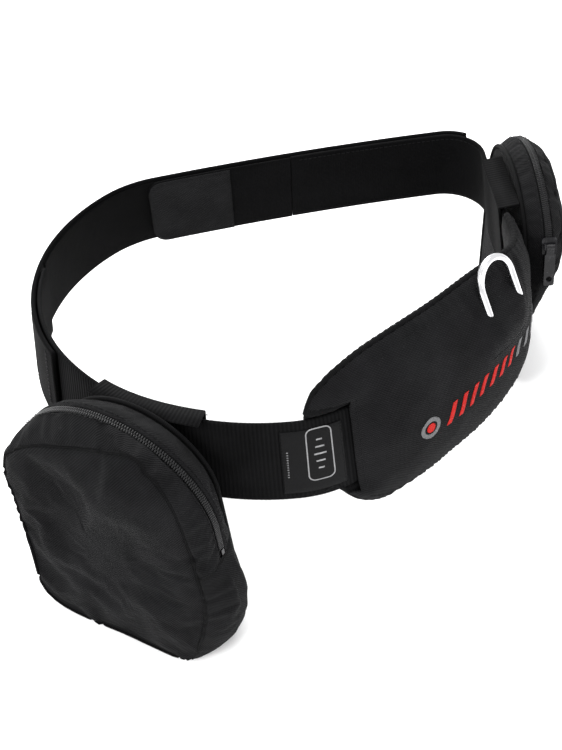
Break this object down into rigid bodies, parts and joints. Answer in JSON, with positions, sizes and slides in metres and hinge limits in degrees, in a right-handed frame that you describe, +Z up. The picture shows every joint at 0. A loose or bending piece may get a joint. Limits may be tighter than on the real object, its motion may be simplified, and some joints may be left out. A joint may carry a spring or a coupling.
{
  "type": "dive weight belt",
  "caption": "Wide belt joined by hook and loop, with a crescent hip pad that carries a steel D-ring, and zipped arched pouches that hold bags of lead shot.",
  "frame": {"origin": "middle of the whole object's box, on the level surface that both pouches stand on", "axes": "+Z up, out of the waist opening; +X to the side with the rear pouch; +Y away from the hip pad and front pouch, towards the back of the belt"},
  "size_m": [0.313, 0.2926, 0.158],
  "materials": {
    "webbing": "matte",
    "strap_cloth": "matte",
    "loop_pile": "matte",
    "hook_plastic": "matte",
    "twill_patch": "matte",
    "label_cloth": "satin",
    "thread": "matte",
    "pad_cloth": "matte",
    "foam": "matte",
    "lining_cloth": "matte",
    "binding_tape": "matte",
    "motif_thread": "satin",
    "polished_steel": "polished",
    "pouch_cloth": "matte",
    "panel_cloth": "matte",
    "zip_tape": "matte",
    "zip_coil": "satin",
    "black_metal": "satin",
    "lead_shot": "matte"
  },
  "bodies": {
    "belt": {"belt_webbing": "webbing", "left_strap": "strap_cloth", "loop_panel": "loop_pile", "right_strap": "strap_cloth", "size_label": "label_cloth", "strap_bar_tacks": "thread", "pad_outer_panel": "pad_cloth", "pad_foam": "foam", "pad_lining": "lining_cloth", "pad_binding": "binding_tape", "pad_motif": "motif_thread", "ring_keeper": "binding_tape"},
    "closure_tab": {"closure_tab": "strap_cloth", "hook_panel": "hook_plastic", "tab_patch": "twill_patch"},
    "d_ring": {"d_ring": "polished_steel"},
    "front_pouch": {"front_pouch_back_panel": "pouch_cloth", "front_pouch_back_binding": "binding_tape", "front_pouch_rear_gusset": "pouch_cloth", "front_pouch_front_gusset": "pouch_cloth", "front_pouch_lower_gusset": "pouch_cloth", "front_pouch_zip_tape_rear": "zip_tape", "front_pouch_zip_tape_front": "zip_tape", "front_pouch_zip_coil": "zip_coil", "front_pouch_zip_stops": "zip_coil", "front_pouch_front_piping": "binding_tape", "front_pouch_front_panel": "panel_cloth", "front_pouch_shot_bag": "lead_shot", "front_pouch_sleeve": "webbing"},
    "front_slider": {"front_pouch_slider": "black_metal"},
    "front_pull": {"front_pouch_pull_tab": "black_metal"},
    "rear_pouch": {"rear_pouch_back_panel": "pouch_cloth", "rear_pouch_back_binding": "binding_tape", "rear_pouch_rear_gusset": "pouch_cloth", "rear_pouch_front_gusset": "pouch_cloth", "rear_pouch_lower_gusset": "pouch_cloth", "rear_pouch_zip_tape_rear": "zip_tape", "rear_pouch_zip_tape_front": "zip_tape", "rear_pouch_zip_coil": "zip_coil", "rear_pouch_zip_stops": "zip_coil", "rear_pouch_front_piping": "binding_tape", "rear_pouch_front_panel": "panel_cloth", "rear_pouch_shot_bag": "lead_shot", "rear_pouch_sleeve": "webbing"},
    "rear_slider": {"rear_pouch_slider": "black_metal"},
    "rear_pull": {"rear_pouch_pull_tab": "black_metal"}
  },
  "joints": [
    {"name": "tab_peel", "type": "hinge", "parent": "belt", "child": "closure_tab", "pos_m": [0.00012, 0.12732, 0.10167], "axis": [0.0186, -0.1379, 0.9903], "range_deg": [0, 70]},
    {"name": "ring_swing", "type": "hinge", "parent": "belt", "child": "d_ring", "pos_m": [0.10187, -0.03331, 0.12774], "axis": [0.7125, 0.7017, 0], "range_deg": [0, 150]},
    {"name": "front_pouch_slide", "type": "hinge", "parent": "belt", "child": "front_pouch", "pos_m": [-0.0152, 0.04109, 0.102], "axis": [0, 0, 1], "range_deg": [-7, 7]},
    {"name": "front_zip", "type": "hinge", "parent": "front_pouch", "child": "front_slider", "pos_m": [-0.10132, -0.10082, 0.09202], "axis": [0.5219, 0.853, 0], "range_deg": [0, 180]},
    {"name": "front_pull_swing", "type": "hinge", "parent": "front_slider", "child": "front_pull", "pos_m": [-0.15249, -0.06951, 0.08835], "axis": [0.5219, 0.853, 0], "range_deg": [0, 160]},
    {"name": "rear_pouch_slide", "type": "slide", "parent": "belt", "child": "rear_pouch", "axis": [0, 1, 0], "range_m": [-0.004, 0.006]},
    {"name": "rear_zip", "type": "hinge", "parent": "rear_pouch", "child": "rear_slider", "pos_m": [0.14, 0.08328, 0.092], "axis": [-1, 0, 0], "range_deg": [0, 155]},
    {"name": "rear_pull_swing", "type": "hinge", "parent": "rear_slider", "child": "rear_pull", "pos_m": [0.14, 0.02882, 0.1174], "axis": [-1, 0, 0], "range_deg": [0, 150]}
  ]
}
